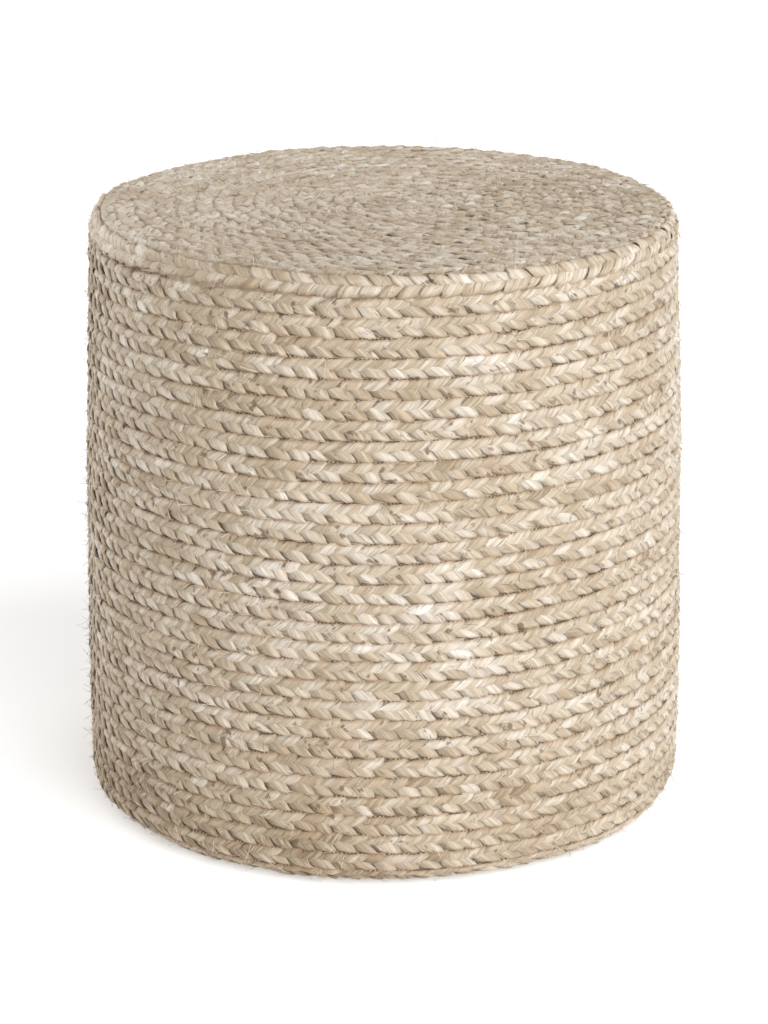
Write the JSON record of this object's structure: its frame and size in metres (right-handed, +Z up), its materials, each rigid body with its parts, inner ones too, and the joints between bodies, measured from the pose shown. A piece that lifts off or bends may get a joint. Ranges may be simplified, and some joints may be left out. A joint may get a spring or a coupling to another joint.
{
  "type": "jute pouf",
  "caption": "Round drum pouf of plaited jute: a plait coiled up its side, a coiled flat top folded over the shoulder, and a plain cloth base.",
  "frame": {"origin": "middle of the underside, on the surface that the pouf stands on", "axes": "+Z up along the drum's axis, -Y towards the front of the picture, +X to its right"},
  "size_m": [0.457, 0.457, 0.46],
  "materials": {
    "side_plait": "flat plaited jute, soft fibrous sheen",
    "top_plait": "flat plaited jute, soft fibrous sheen",
    "base_cloth": "plain woven jute cloth, matt"
  },
  "bodies": {
    "root": {"side_coil": "side_plait", "top_coil": "top_plait", "base_panel": "base_cloth"}
  },
  "joints": []
}
